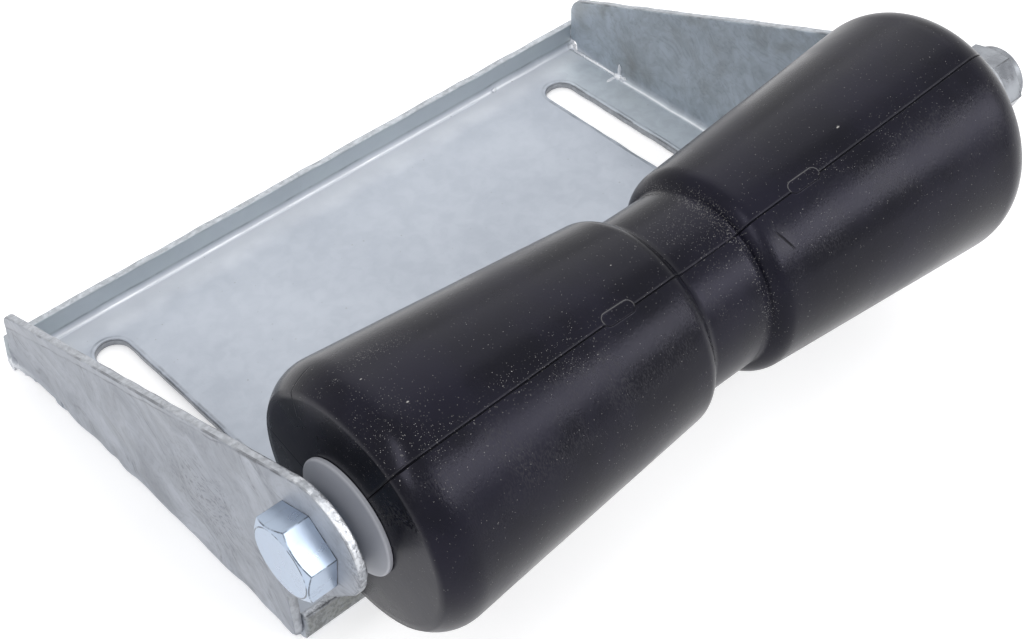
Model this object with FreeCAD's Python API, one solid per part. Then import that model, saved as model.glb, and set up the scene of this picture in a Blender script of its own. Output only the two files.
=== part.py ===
import FreeCAD, Part
import math
import os

# Boat trailer keel roller on a folded galvanised bracket.
# Millimetres. X runs along the roller, +Y to the back of the bracket, +Z up.
# The origin is the middle of the base plate's underside.

# Bracket sheet
SHEET = 3.0
SIDE_BEND_INSIDE = 3.0
LIP_BEND_INSIDE = 1.0
BASE_DEPTH = 171.0
BACK_LIP_HEIGHT = 13.8
FRONT_LIP_HEIGHT = 12.0

# Bracket cheeks, seen from the side
AXIS_AHEAD = 19.0            # axle centre, in front of the front lip's outer face
AXIS_HEIGHT = 70.0           # axle centre, above the base's underside
TOP_EDGE_TO_AXIS = 22.5
TOP_EDGE_SLOPE = 20.0        # degrees down towards the back
UNDER_EDGE_TO_AXIS = 17.5
UNDER_EDGE_SLOPE = 45.0      # degrees down towards the back
NOSE_RADIUS = 18.7
EAR_ROOT_RADIUS = 2.0
BACK_CORNER_RADIUS = 8.0
CHEEK_SETBACK = 1.0          # cheek's front edge, behind the front lip's outer face
CHEEK_FOOT = 2.0             # cut lower edge where the cheek isn't bent from the base
SIDE_BEND_BACK = 52.0        # where the side bends stop and the rear slits start
SLIT_GAP = 0.5
LIP_GAP = 0.3                # cheek's back edge to the back lip
CORNER_NOTCH_LENGTH = 3.5
CORNER_NOTCH_HEIGHT = 7.0
CORNER_SLOT_RADIUS = 1.5

# Mounting slots in the base
SLOT_WIDTH = 13.0
SLOT_LENGTH = 110.0
SLOT_TO_SIDE = 27.5          # slot centre line to the bracket's outer side
SLOT_TO_BACK_LIP = 14.2

# Axle bolt
BOLT_RADIUS = 8.0
BOLT_HOLE_CLEARANCE = 0.5
HEX_ACROSS_FLATS = 24.0
HEAD_HEIGHT = 10.0
HEAD_TURN = 10.0             # degrees, a corner from straight up towards the front
HEX_CHAMFER_ANGLE = 30.0
HEX_FACE_SHARE = 0.95        # round flat face, as a share of the width across flats
HEX_CORNER_ROOM = 0.5        # turned envelope, outside the hexagon's corners
BOLT_TIP_CHAMFER = 1.2
BOLT_PAST_NUT = 1.0

# Washer and lock nut
WASHER_RADIUS = 15.0
WASHER_THICKNESS = 4.0
NUT_HEX_LENGTH = 17.5
NUT_TURN = 25.6
COLLAR_RADIUS = 11.2
COLLAR_LENGTH = 3.5
COLLAR_ROUND = 1.2
INSERT_RADIUS = 10.0
INSERT_LENGTH = 4.0
COLLAR_CURL = 0.8            # collar edge turned in over the insert
COLLAR_MOUTH_CLEARANCE = 0.6

# Rubber roller
ROLLER_LENGTH = 248.0
WAIST_RADIUS = 30.5
WAIST_LENGTH = 25.0
CONE_RADIUS_AT_MIDDLE = 33.9
CONE_SLOPE = 0.083           # radius gained per millimetre towards the ends
SHOULDER_ROUND = 7.0
END_ROUND = 14.7
CREASE_RADIUS = 38.5
CREASE_SETBACK = 1.0
END_FLAT_RADIUS = 20.0       # flat middle of the end face, under the bush's flange
ROLLER_BORE_RADIUS = 12.0
ROLLER_SIDE_PLAY = 5.0       # bush face to the cheek, at each end

# Flanged bushes
BUSH_LENGTH = 40.0
BUSH_RUNNING_CLEARANCE = 0.08
BUSH_FLANGE_RADIUS = 19.0
BUSH_FLANGE_THICKNESS = 5.5  # at the raised flat face in the middle
BUSH_RIM_THICKNESS = 1.2
BUSH_RIM_ROUND = 0.5
BUSH_FACE_RADIUS = 13.0      # where the sloping flange would meet the flat face
BUSH_FACE_ROUND = 8.0

# Worked out from the sizes above
ROLLER_END = ROLLER_LENGTH / 2
FLANGE_END = ROLLER_END + BUSH_FLANGE_THICKNESS
CHEEK_INSIDE = FLANGE_END + ROLLER_SIDE_PLAY
HALF_WIDTH = CHEEK_INSIDE + SHEET
SIDE_BEND_OUTSIDE = SIDE_BEND_INSIDE + SHEET
LIP_BEND_OUTSIDE = LIP_BEND_INSIDE + SHEET
FLAT_EDGE = HALF_WIDTH - SIDE_BEND_OUTSIDE
FRONT = -BASE_DEPTH / 2
BACK = BASE_DEPTH / 2
CHEEK_FRONT = FRONT + CHEEK_SETBACK
AXIS_Y = FRONT - AXIS_AHEAD
NUT_FACE = HALF_WIDTH + WASHER_THICKNESS
NUT_HEX_END = NUT_FACE + NUT_HEX_LENGTH
NUT_END = NUT_HEX_END + COLLAR_LENGTH
HEX_CORNER_RADIUS = HEX_ACROSS_FLATS / math.sqrt(3)
AXIS_POINT = FreeCAD.Vector(0, AXIS_Y, AXIS_HEIGHT)
ALONG_X = FreeCAD.Vector(1, 0, 0)
ALONG_Y = FreeCAD.Vector(0, 1, 0)
ALONG_Z = FreeCAD.Vector(0, 0, 1)


def side_point(y, z):
    """A point of a drawing made in the YZ plane."""
    return FreeCAD.Vector(0, y, z)


def end_point(x, z):
    """A point of a drawing made in the XZ plane."""
    return FreeCAD.Vector(x, 0, z)


def axle_point(x, radius):
    """A point of a turned piece's half section, above the axle centre."""
    return AXIS_POINT + FreeCAD.Vector(x, 0, radius)


def line(start, end):
    return Part.LineSegment(start, end).toShape()


def arc(start, middle, end):
    return Part.Arc(start, middle, end).toShape()


def rounded_corner(before, corner, after, radius):
    """Start, middle and end of the arc that rounds one corner."""
    to_before = (before - corner).normalize()
    to_after = (after - corner).normalize()
    half_angle = to_before.getAngle(to_after) / 2
    reach = radius / math.tan(half_angle)
    bisector = (to_before + to_after).normalize()
    centre = corner + bisector * (radius / math.sin(half_angle))
    return corner + to_before * reach, centre - bisector * radius, corner + to_after * reach


def outline(corners, place):
    """A closed face from corners (u, v, radius); radius 0 leaves the corner sharp."""
    points = [place(u, v) for u, v, _ in corners]
    edges = []
    last_end = None
    first_start = None
    for i, (_, _, radius) in enumerate(corners):
        start = middle = end = points[i]
        if radius > 0:
            before = points[i - 1]
            after = points[(i + 1) % len(points)]
            start, middle, end = rounded_corner(before, points[i], after, radius)
        if last_end is None:
            first_start = start
        elif last_end.distanceToPoint(start) > 1e-6:
            edges.append(line(last_end, start))
        if radius > 0:
            edges.append(arc(start, middle, end))
        last_end = end
    if last_end.distanceToPoint(first_start) > 1e-6:
        edges.append(line(last_end, first_start))
    return Part.Face(Part.Wire(edges))


def turned(edges):
    """Revolve a closed half section about the axle."""
    face = Part.Face(Part.Wire(edges))
    return face.revolve(AXIS_POINT, ALONG_X, 360)


def round_bar(radius, start_x, end_x):
    base = AXIS_POINT + ALONG_X * start_x
    return Part.makeCylinder(radius, end_x - start_x, base, ALONG_X)


def box(x_range, y_range, z_range):
    corner = FreeCAD.Vector(x_range[0], y_range[0], z_range[0])
    size = [high - low for low, high in (x_range, y_range, z_range)]
    return Part.makeBox(size[0], size[1], size[2], corner)


def mirrored(shape):
    return shape.mirror(FreeCAD.Vector(0, 0, 0), ALONG_X)


# Bracket: one folded sheet

def tray_section():
    """Base plate with both lips bent up, as a section across X."""
    front_in = FRONT + SHEET
    back_in = BACK - SHEET
    corners = [
        (FRONT, FRONT_LIP_HEIGHT, 0),
        (FRONT, 0, LIP_BEND_OUTSIDE),
        (BACK, 0, LIP_BEND_OUTSIDE),
        (BACK, BACK_LIP_HEIGHT, 0),
        (back_in, BACK_LIP_HEIGHT, 0),
        (back_in, SHEET, LIP_BEND_INSIDE),
        (front_in, SHEET, LIP_BEND_INSIDE),
        (front_in, FRONT_LIP_HEIGHT, 0),
    ]
    return outline(corners, side_point)


def tray_piece(x_start, x_end, y_start=FRONT, y_end=BACK):
    """The tray section between two X planes and two Y planes."""
    piece = tray_section().extrude(ALONG_X * (x_end - x_start))
    piece.translate(ALONG_X * x_start)
    top = max(FRONT_LIP_HEIGHT, BACK_LIP_HEIGHT)
    return piece.common(box((x_start, x_end), (y_start, y_end), (0, top)))


def side_bend():
    """The quarter-round bend that joins the base to the right cheek."""
    corners = [
        (FLAT_EDGE, 0, 0),
        (HALF_WIDTH, 0, SIDE_BEND_OUTSIDE),
        (HALF_WIDTH, SIDE_BEND_OUTSIDE, 0),
        (CHEEK_INSIDE, SIDE_BEND_OUTSIDE, 0),
        (CHEEK_INSIDE, SHEET, SIDE_BEND_INSIDE),
        (FLAT_EDGE, SHEET, 0),
    ]
    bend_front = FRONT + LIP_BEND_OUTSIDE
    bend = outline(corners, end_point).extrude(ALONG_Y * (SIDE_BEND_BACK - bend_front))
    bend.translate(ALONG_Y * bend_front)
    return bend


def top_edge_height(y):
    """Height of the cheek's straight top edge, carried on past its rounded ends."""
    slope = math.radians(TOP_EDGE_SLOPE)
    return AXIS_HEIGHT + TOP_EDGE_TO_AXIS / math.cos(slope) - math.tan(slope) * (y - AXIS_Y)


def under_edge_height(y):
    """Height of the ear's straight underside."""
    slope = math.radians(UNDER_EDGE_SLOPE)
    return AXIS_HEIGHT - UNDER_EDGE_TO_AXIS / math.cos(slope) - math.tan(slope) * (y - AXIS_Y)


def cheek():
    """The right cheek, with its ear about the axle and its cut lower edges."""
    slope_gap = math.tan(math.radians(UNDER_EDGE_SLOPE)) - math.tan(math.radians(TOP_EDGE_SLOPE))
    nose_y = AXIS_Y - (top_edge_height(AXIS_Y) - under_edge_height(AXIS_Y)) / slope_gap
    cheek_back = BACK - SHEET - LIP_GAP
    notch_front = cheek_back - CORNER_NOTCH_LENGTH
    corners = [
        (CHEEK_FRONT, CHEEK_FOOT, 0),
        (CHEEK_FRONT, under_edge_height(CHEEK_FRONT), EAR_ROOT_RADIUS),
        (nose_y, top_edge_height(nose_y), NOSE_RADIUS),
        (cheek_back, top_edge_height(cheek_back), BACK_CORNER_RADIUS),
        (cheek_back, CORNER_NOTCH_HEIGHT, 0),
        (notch_front, CORNER_NOTCH_HEIGHT, CORNER_SLOT_RADIUS),
        (notch_front, CHEEK_FOOT, 0),
    ]
    plate = outline(corners, side_point).extrude(ALONG_X * SHEET)
    plate.translate(ALONG_X * CHEEK_INSIDE)
    bent_part = box((CHEEK_INSIDE, HALF_WIDTH), (CHEEK_FRONT, SIDE_BEND_BACK), (0, SIDE_BEND_OUTSIDE))
    return plate.cut(bent_part)


def bracket_side():
    """Everything of the bracket outside the flat tray, on the right."""
    slit_edge = CHEEK_INSIDE - SLIT_GAP
    front_lip = tray_piece(FLAT_EDGE, slit_edge, FRONT, FRONT + LIP_BEND_OUTSIDE)
    rear_strip = tray_piece(FLAT_EDGE, slit_edge, SIDE_BEND_BACK, BACK)
    back_lip = tray_piece(slit_edge, HALF_WIDTH, BACK - LIP_BEND_OUTSIDE, BACK)
    return [side_bend(), cheek(), front_lip, rear_strip, back_lip]


def mounting_slot():
    """A round-ended slot that runs front to back through the base, on the right."""
    radius = SLOT_WIDTH / 2
    x = HALF_WIDTH - SLOT_TO_SIDE
    slot_back = BACK - SHEET - SLOT_TO_BACK_LIP
    slot_front = slot_back - SLOT_LENGTH
    slot = box((x - radius, x + radius), (slot_front + radius, slot_back - radius), (-SHEET, 2 * SHEET))
    for y in (slot_front + radius, slot_back - radius):
        end = Part.makeCylinder(radius, 3 * SHEET, FreeCAD.Vector(x, y, -SHEET), ALONG_Z)
        slot = slot.fuse(end)
    return slot


def make_bracket():
    sides = bracket_side()
    sides += [mirrored(piece) for piece in sides]
    body = tray_piece(-FLAT_EDGE, FLAT_EDGE).multiFuse(sides)
    slot = mounting_slot()
    hole = round_bar(BOLT_RADIUS + BOLT_HOLE_CLEARANCE, -HALF_WIDTH, HALF_WIDTH)
    body = body.cut([slot, mirrored(slot), hole])
    return body.removeSplitter()


# Fasteners

def hex_bar(start_x, end_x, turn):
    """A hexagonal bar along the axle, with one corner turned from straight up to the front."""
    points = []
    for i in range(7):
        angle = math.radians(turn + 60 * i)
        ahead = HEX_CORNER_RADIUS * math.sin(angle)
        up = HEX_CORNER_RADIUS * math.cos(angle)
        points.append(AXIS_POINT + FreeCAD.Vector(start_x, -ahead, up))
    return Part.Face(Part.makePolygon(points)).extrude(ALONG_X * (end_x - start_x))


def chamfer_envelope(start_x, end_x, chamfer_start, chamfer_end):
    """A turned bar that cuts a hexagon's corners to a cone at either end."""
    face_radius = HEX_FACE_SHARE * HEX_ACROSS_FLATS / 2
    outer_radius = HEX_CORNER_RADIUS + HEX_CORNER_ROOM
    length = (outer_radius - face_radius) * math.tan(math.radians(HEX_CHAMFER_ANGLE))
    start_radius = face_radius if chamfer_start else outer_radius
    end_radius = face_radius if chamfer_end else outer_radius
    points = [
        axle_point(start_x, 0),
        axle_point(start_x, start_radius),
        axle_point(start_x + length, outer_radius),
        axle_point(end_x - length, outer_radius),
        axle_point(end_x, end_radius),
        axle_point(end_x, 0),
    ]
    edges = [line(points[i], points[(i + 1) % len(points)]) for i in range(len(points))]
    return turned(edges)


def make_axle_bolt():
    """Hex-headed bolt: head on the left ear's outer face, tip just past the nut."""
    head_end = -HALF_WIDTH - HEAD_HEIGHT
    head = hex_bar(head_end, -HALF_WIDTH, HEAD_TURN)
    head = head.common(chamfer_envelope(head_end, -HALF_WIDTH, True, False))
    tip = NUT_END + BOLT_PAST_NUT
    shank = round_bar(BOLT_RADIUS, -HALF_WIDTH, tip - BOLT_TIP_CHAMFER)
    cone_base = AXIS_POINT + ALONG_X * (tip - BOLT_TIP_CHAMFER)
    cone = Part.makeCone(BOLT_RADIUS, BOLT_RADIUS - BOLT_TIP_CHAMFER, BOLT_TIP_CHAMFER, cone_base, ALONG_X)
    return head.multiFuse([shank, cone]).removeSplitter()


def make_washer():
    ring = round_bar(WASHER_RADIUS, HALF_WIDTH, NUT_FACE)
    return ring.cut(round_bar(BOLT_RADIUS + BOLT_HOLE_CLEARANCE, HALF_WIDTH, NUT_FACE))


def insert_start():
    return NUT_END - COLLAR_CURL - INSERT_LENGTH


def make_lock_nut():
    """Hex nut whose round collar holds the locking insert."""
    hexagon = hex_bar(NUT_FACE, NUT_HEX_END, NUT_TURN)
    hexagon = hexagon.common(chamfer_envelope(NUT_FACE, NUT_HEX_END, True, True))
    collar_corners = [
        (NUT_HEX_END - COLLAR_LENGTH, 0, 0),
        (NUT_HEX_END - COLLAR_LENGTH, COLLAR_RADIUS, 0),
        (NUT_END, COLLAR_RADIUS, COLLAR_ROUND),
        (NUT_END, 0, 0),
    ]
    collar = outline(collar_corners, axle_point).revolve(AXIS_POINT, ALONG_X, 360)
    thread = round_bar(BOLT_RADIUS, NUT_FACE, NUT_END)
    seat = round_bar(INSERT_RADIUS, insert_start(), insert_start() + INSERT_LENGTH)
    mouth = round_bar(BOLT_RADIUS + COLLAR_MOUTH_CLEARANCE, insert_start(), NUT_END)
    return hexagon.fuse(collar).cut([thread, seat, mouth]).removeSplitter()


def make_nut_insert():
    ring = round_bar(INSERT_RADIUS, insert_start(), insert_start() + INSERT_LENGTH)
    return ring.cut(round_bar(BOLT_RADIUS, insert_start(), insert_start() + INSERT_LENGTH))


# Rubber roller

def cone_arc(point_x, point_radius, radius, side):
    """The arc from a point of the half section onto the cone's straight side.

    It touches the cone without a corner. side is 1 where the arc's centre lies
    further out along the roller than the point, and -1 where it lies further in.
    Returns the arc's point on the cone, its middle and the given point.
    """
    length = math.hypot(1, CONE_SLOPE)
    along = FreeCAD.Vector(1 / length, 0, CONE_SLOPE / length)
    outward = FreeCAD.Vector(-CONE_SLOPE / length, 0, 1 / length)
    point = FreeCAD.Vector(point_x, 0, point_radius)
    start = FreeCAD.Vector(0, 0, CONE_RADIUS_AT_MIDDLE) - outward * radius
    reach = (point - start).dot(along)
    aside = (point - start).dot(outward)
    centre = start + along * (reach + side * math.sqrt(radius ** 2 - aside ** 2))
    touch = centre + outward * radius
    middle = centre + ((touch - centre) + (point - centre)).normalize() * radius
    return [axle_point(p.x, p.z) for p in (touch, middle, point)]


def half_roller():
    """The right half: waist, shoulder, cone, rounded end and end face, with the bore."""
    waist_end = WAIST_LENGTH / 2
    shoulder = cone_arc(waist_end, WAIST_RADIUS, SHOULDER_ROUND, 1)
    end = cone_arc(ROLLER_END - CREASE_SETBACK, CREASE_RADIUS, END_ROUND, -1)
    edges = [
        line(axle_point(0, ROLLER_BORE_RADIUS), axle_point(0, WAIST_RADIUS)),
        line(axle_point(0, WAIST_RADIUS), shoulder[2]),
        arc(shoulder[2], shoulder[1], shoulder[0]),
        line(shoulder[0], end[0]),
        arc(end[0], end[1], end[2]),
        line(end[2], axle_point(ROLLER_END, END_FLAT_RADIUS)),
        line(axle_point(ROLLER_END, END_FLAT_RADIUS), axle_point(ROLLER_END, ROLLER_BORE_RADIUS)),
        line(axle_point(ROLLER_END, ROLLER_BORE_RADIUS), axle_point(0, ROLLER_BORE_RADIUS)),
    ]
    return turned(edges)


def make_roller():
    half = half_roller()
    return half.fuse(mirrored(half)).removeSplitter()


def make_bush():
    """The right bush: its domed flange lies on the roller's end, its sleeve in the bore."""
    inner = BOLT_RADIUS + BUSH_RUNNING_CLEARANCE
    corners = [
        (ROLLER_END - BUSH_LENGTH, inner, 0),
        (ROLLER_END - BUSH_LENGTH, ROLLER_BORE_RADIUS, 0),
        (ROLLER_END, ROLLER_BORE_RADIUS, 0),
        (ROLLER_END, BUSH_FLANGE_RADIUS, 0),
        (ROLLER_END + BUSH_RIM_THICKNESS, BUSH_FLANGE_RADIUS, BUSH_RIM_ROUND),
        (FLANGE_END, BUSH_FACE_RADIUS, BUSH_FACE_ROUND),
        (FLANGE_END, inner, 0),
    ]
    return outline(corners, axle_point).revolve(AXIS_POINT, ALONG_X, 360)


def main():
    os.makedirs("parts", exist_ok=True)
    bush = make_bush()
    pieces = {
        "bracket": make_bracket(),
        "roller": make_roller(),
        "bush_left": mirrored(bush),
        "bush_right": bush,
        "axle_bolt": make_axle_bolt(),
        "washer": make_washer(),
        "lock_nut": make_lock_nut(),
        "nut_insert": make_nut_insert(),
    }
    for name, shape in pieces.items():
        box_found = shape.BoundBox
        print(name, "solids", len(shape.Solids), "valid", shape.isValid(), "volume", round(shape.Volume),
              "size", round(box_found.XLength, 1), round(box_found.YLength, 1), round(box_found.ZLength, 1))
        shape.exportStep("parts/" + name + ".step")


main()
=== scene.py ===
import bmesh
import bpy
import math
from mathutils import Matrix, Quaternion, Vector, noise
from types import SimpleNamespace


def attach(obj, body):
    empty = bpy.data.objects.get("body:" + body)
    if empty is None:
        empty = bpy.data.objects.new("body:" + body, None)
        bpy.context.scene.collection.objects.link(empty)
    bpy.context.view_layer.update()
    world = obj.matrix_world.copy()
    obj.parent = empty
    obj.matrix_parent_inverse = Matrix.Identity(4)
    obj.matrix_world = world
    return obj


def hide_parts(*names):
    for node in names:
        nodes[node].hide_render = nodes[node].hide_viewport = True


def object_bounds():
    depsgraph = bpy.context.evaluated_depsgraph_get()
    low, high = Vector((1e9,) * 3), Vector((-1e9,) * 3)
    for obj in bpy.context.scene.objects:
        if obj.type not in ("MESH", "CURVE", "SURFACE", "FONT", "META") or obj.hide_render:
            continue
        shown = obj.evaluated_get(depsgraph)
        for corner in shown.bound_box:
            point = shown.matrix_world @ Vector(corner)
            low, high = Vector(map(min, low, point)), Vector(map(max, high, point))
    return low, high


# Boat trailer keel roller on its folded, galvanised bracket. Metres, X along the axle.

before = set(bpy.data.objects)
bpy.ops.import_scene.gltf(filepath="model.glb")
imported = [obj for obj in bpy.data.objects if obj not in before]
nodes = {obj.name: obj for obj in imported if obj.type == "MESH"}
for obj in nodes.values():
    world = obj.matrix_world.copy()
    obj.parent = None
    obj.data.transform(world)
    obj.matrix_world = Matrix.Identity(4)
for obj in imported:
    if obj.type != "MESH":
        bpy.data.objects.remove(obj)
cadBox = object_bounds()
scene = bpy.context.scene
axle = (-0.1045, 0.070)  # axle centre, Y and Z
print("frame loaded with", len(nodes), "solids")


# Helpers for node trees: new nodes go into the tree that was started last

current = {}  # holds that tree


def startTree(tree):
    current["tree"] = tree
    return tree


def link(source, target):
    current["tree"].links.new(source, target)


def addNode(kind, inputs=None, **settings):
    placed = current["tree"].nodes
    made = placed.new(kind)
    made.location = (200 * (len(placed) % 10), -280 * (len(placed) // 10))
    for name, value in settings.items():
        setattr(made, name, value)
    for key, value in (inputs or {}).items():
        if isinstance(value, bpy.types.NodeSocket):
            link(value, made.inputs[key])
        else:
            made.inputs[key].default_value = value
    return made


def firstOf(kind, inputs=None, **settings):
    return addNode(kind, inputs, **settings).outputs[0]


def calc(operation, a, b=0.0, c=0.0):
    return firstOf("ShaderNodeMath", {0: a, 1: b, 2: c}, operation=operation)


def times(first, *others):
    for other in others:
        first = calc("MULTIPLY", first, other)
    return first


def greater(first, *others):
    for other in others:
        first = calc("MAXIMUM", first, other)
    return first


def plus(a, b):
    return calc("ADD", a, b)


def minus(a, b):
    return calc("SUBTRACT", a, b)


def lift(value, gain, rest):
    return calc("MULTIPLY_ADD", value, gain, rest)


def length(a, b):
    return calc("SQRT", plus(times(a, a), times(b, b)))


def rescale(value, fromLow, fromHigh, toLow=0.0, toHigh=1.0):
    inputs = {0: value, 1: fromLow, 2: fromHigh, 3: toLow, 4: toHigh}
    return firstOf("ShaderNodeMapRange", inputs, interpolation_type="SMOOTHSTEP")


def nearTo(value, target, reach):
    return rescale(calc("ABSOLUTE", minus(value, target)), reach, 0.0)


def scaled(vector, factors):
    return firstOf("ShaderNodeVectorMath", {0: vector, 1: factors}, operation="MULTIPLY")


def distance(a, b):
    return addNode("ShaderNodeVectorMath", {0: a, 1: b}, operation="DISTANCE").outputs["Value"]


def noiseAt(vector, scale, detail, output=0):
    return addNode("ShaderNodeTexNoise", {"Vector": vector, "Scale": scale, "Detail": detail}).outputs[output]


def attribute(name):
    return addNode("ShaderNodeAttribute", attribute_name=name).outputs["Fac"]


def mixColour(factor, a, b):
    return addNode("ShaderNodeMix", {0: factor, 6: a, 7: b}, data_type="RGBA").outputs[2]


def paint(base, colour, *amounts):
    return mixColour(times(*amounts), base, colour)


def bumped(height, strength, distance, under=None):
    inputs = {"Height": height, "Strength": strength, "Distance": distance}
    if under is not None:
        inputs["Normal"] = under
    return firstOf("ShaderNodeBump", inputs)


def newTree(name, kind, inputs, outputs):
    # each input has its default value, or the kind of a socket without one
    tree = startTree(bpy.data.node_groups.new(name, kind))
    kinds = {int: "Int", float: "Float", tuple: "Vector"}
    for label, value in inputs.items():
        socketKind = "NodeSocket" + kinds.get(type(value), value)
        socket = tree.interface.new_socket(name=label, in_out="INPUT", socket_type=socketKind)
        if type(value) in kinds:
            socket.default_value = value
    for label in outputs:
        socketKind = "NodeSocketGeometry" if label == "Geometry" else "NodeSocketFloat"
        tree.interface.new_socket(name=label, in_out="OUTPUT", socket_type=socketKind)
    return tree, tree.nodes.new("NodeGroupInput").outputs, tree.nodes.new("NodeGroupOutput").inputs


# Helpers for meshes

def newObject(name, data):
    made = bpy.data.objects.new(name, data)
    scene.collection.objects.link(made)
    return made


def freeze(target):
    # turns live modifiers into a plain mesh
    depsgraph = bpy.context.evaluated_depsgraph_get()
    plain = bpy.data.meshes.new_from_object(target.evaluated_get(depsgraph), preserve_all_data_layers=True,
                                            depsgraph=depsgraph)
    target.modifiers.clear()
    target.data = plain
    return target


def runTree(target, tree, values):
    modifier = target.modifiers.new(tree.name, "NODES")
    modifier.node_group = tree
    for item in tree.interface.items_tree:
        if item.item_type == "SOCKET" and item.in_out == "INPUT" and item.name in values:
            modifier[item.identifier] = values[item.name]
    return freeze(target)


# Shared effects as shader node groups

def buildCloudyTone():
    tree, given, result = newTree("cloudyTone", "ShaderNodeTree", {
        "Vector": "Vector", "Scale": 30.0, "Detail": 4.0, "Distortion": 0.0, "Low": 0.35, "High": 0.65}, ["Mask"])
    cloud = firstOf("ShaderNodeTexNoise", {
        "Vector": given["Vector"], "Scale": given["Scale"], "Detail": given["Detail"], "Roughness": 0.55,
        "Distortion": given["Distortion"]})
    link(rescale(cloud, given["Low"], given["High"]), result["Mask"])
    return tree


def buildSpecks():
    # small round specks, each cell keeping or dropping its own
    tree, given, result = newTree("specks", "ShaderNodeTree", {
        "Vector": "Vector", "Scale": 900.0, "Radius": 0.3, "Amount": 0.2}, ["Mask"])
    cells = addNode("ShaderNodeTexVoronoi", {"Vector": given["Vector"], "Scale": given["Scale"]}).outputs
    chance = addNode("ShaderNodeSeparateColor", {0: cells["Color"]}).outputs
    kept = calc("LESS_THAN", chance[0], given["Amount"])
    radius = times(given["Radius"], chance[1])
    inside = rescale(cells["Distance"], radius, times(radius, 0.6))
    strength = rescale(chance[2], 0.0, 1.0, 0.25, 1.0)
    link(times(kept, inside, strength), result["Mask"])
    return tree


def buildScuffs():
    # fine marks drawn out in one direction by the Stretch vector
    tree, given, result = newTree("scuffs", "ShaderNodeTree", {
        "Vector": "Vector", "Stretch": (1, 1, 1), "Scale": 600.0, "Amount": 0.3}, ["Mask", "Height"])
    drawn = scaled(given["Vector"], given["Stretch"])
    fine = firstOf("ShaderNodeTexNoise", {"Vector": drawn, "Scale": given["Scale"], "Detail": 3.0, "Roughness": 0.6})
    edge = minus(0.72, times(given["Amount"], 0.4))
    link(rescale(fine, edge, plus(edge, 0.1)), result["Mask"])
    link(fine, result["Height"])
    return tree


def buildAroundAxle():
    # angle from straight up towards the front in degrees, and distance from the axle
    tree, given, result = newTree("aroundAxle", "ShaderNodeTree", {"Vector": "Vector"}, ["Along", "Angle", "Radius"])
    parts = addNode("ShaderNodeSeparateXYZ", {0: given["Vector"]}).outputs
    ahead = minus(axle[0], parts[1])
    up = minus(parts[2], axle[1])
    link(parts[0], result["Along"])
    link(calc("DEGREES", calc("ARCTAN2", ahead, up)), result["Angle"])
    link(length(ahead, up), result["Radius"])
    return tree


def buildOvalMark():
    # outline of an oblong mark at one place of the roller's skin, sizes in metres
    tree, given, result = newTree("ovalMark", "ShaderNodeTree", {
        "Along": 0.0, "Around": 0.0, "Half Length": 0.006, "Half Width": 0.002, "Line": 0.0003}, ["Line", "Inside"])
    straight = minus(given["Half Length"], given["Half Width"])
    past = greater(minus(calc("ABSOLUTE", given["Along"]), straight), 0.0)
    offset = minus(length(past, given["Around"]), given["Half Width"])
    link(rescale(calc("ABSOLUTE", offset), given["Line"], 0.0), result["Line"])
    link(calc("LESS_THAN", offset, 0.0), result["Inside"])
    return tree


cloudyTone = buildCloudyTone()
specks = buildSpecks()
scuffs = buildScuffs()
aroundAxle = buildAroundAxle()
ovalMark = buildOvalMark()


def groupNode(group, inputs):
    return addNode("ShaderNodeGroup", inputs, node_tree=group).outputs


def cloudy(vector, scale, detail, low, high, distortion=0.0):
    return groupNode(cloudyTone, {"Vector": vector, "Scale": scale, "Detail": detail, "Distortion": distortion,
                                  "Low": low, "High": high})["Mask"]


def specked(vector, scale, radius, amount):
    return groupNode(specks, {"Vector": vector, "Scale": scale, "Radius": radius, "Amount": amount})["Mask"]


def newMaterial(name):
    made = bpy.data.materials.new(name)
    made.use_nodes = True
    startTree(made.node_tree)
    place = addNode("ShaderNodeTexCoord").outputs["Object"]
    return made, made.node_tree.nodes["Principled BSDF"], place


# Hot-dip galvanised steel of the bracket

galvanisedLooks = {
    "zinc": (0.385, 0.420, 0.480, 1), "paleZinc": (0.435, 0.470, 0.530, 1),
    "dullZinc": (0.245, 0.263, 0.300, 1), "runZinc": (0.430, 0.458, 0.515, 1),
    "lipZinc": (0.440, 0.500, 0.530, 1), "sideZinc": (0.600, 0.665, 0.710, 1),
    "highlightZinc": (0.88, 0.90, 0.94, 1), "stain": (0.21, 0.215, 0.20, 1), "line": (0.075, 0.08, 0.09, 1),
    "farDull": (0.335, 0.380, 0.420, 1), "farPale": (0.460, 0.520, 0.585, 1),
    "edgeLight": (0.50, 0.52, 0.56, 1), "edgeDark": (0.33, 0.345, 0.37, 1),
    "metallic": (0.32, 0.62), "roughness": (0.36, 0.48), "streakTurn": -46.0,
    "stainSpot": (0.1345, 0.043, 0.017), "roughSpot": (-0.046, 0.036),  # places X, Y, Z and Y, Z
    "edgeCrease": (0.0758, 0.0229, 0.394, 0.930),  # Y, Z, slope and its cosine
    # soft masks from none to full, across (X), along (Y) and up (Z)
    "cheeks": (0.1325, 0.1345), "leftSide": (-0.1330, -0.1345), "rightSide": (0.120, 0.136),
    "sideStrip": (0.110, 0.122), "farPaintedLight": (0.045, 0.080), "footGlow": (0.066, 0.080),
    "backLip": (0.0810, 0.0822), "frontLip": (-0.0838, -0.0848), "aboveFold": (0.001, 0.008),
    "onBase": (0.0045, 0.0035), "belowBend": (0.0060, 0.0036), "aboveBend": (0.0045, 0.0065),
    # painted highlight and painted shade lines in the folds
    "sideHighlight": 0.1329, "footHighlight": 0.0817, "bendShadeLine": 0.0062,
    "slotCentre": 0.110, "slotStraight": (-0.0352, 0.0618), "slotHalfWidth": 0.0065}


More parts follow.
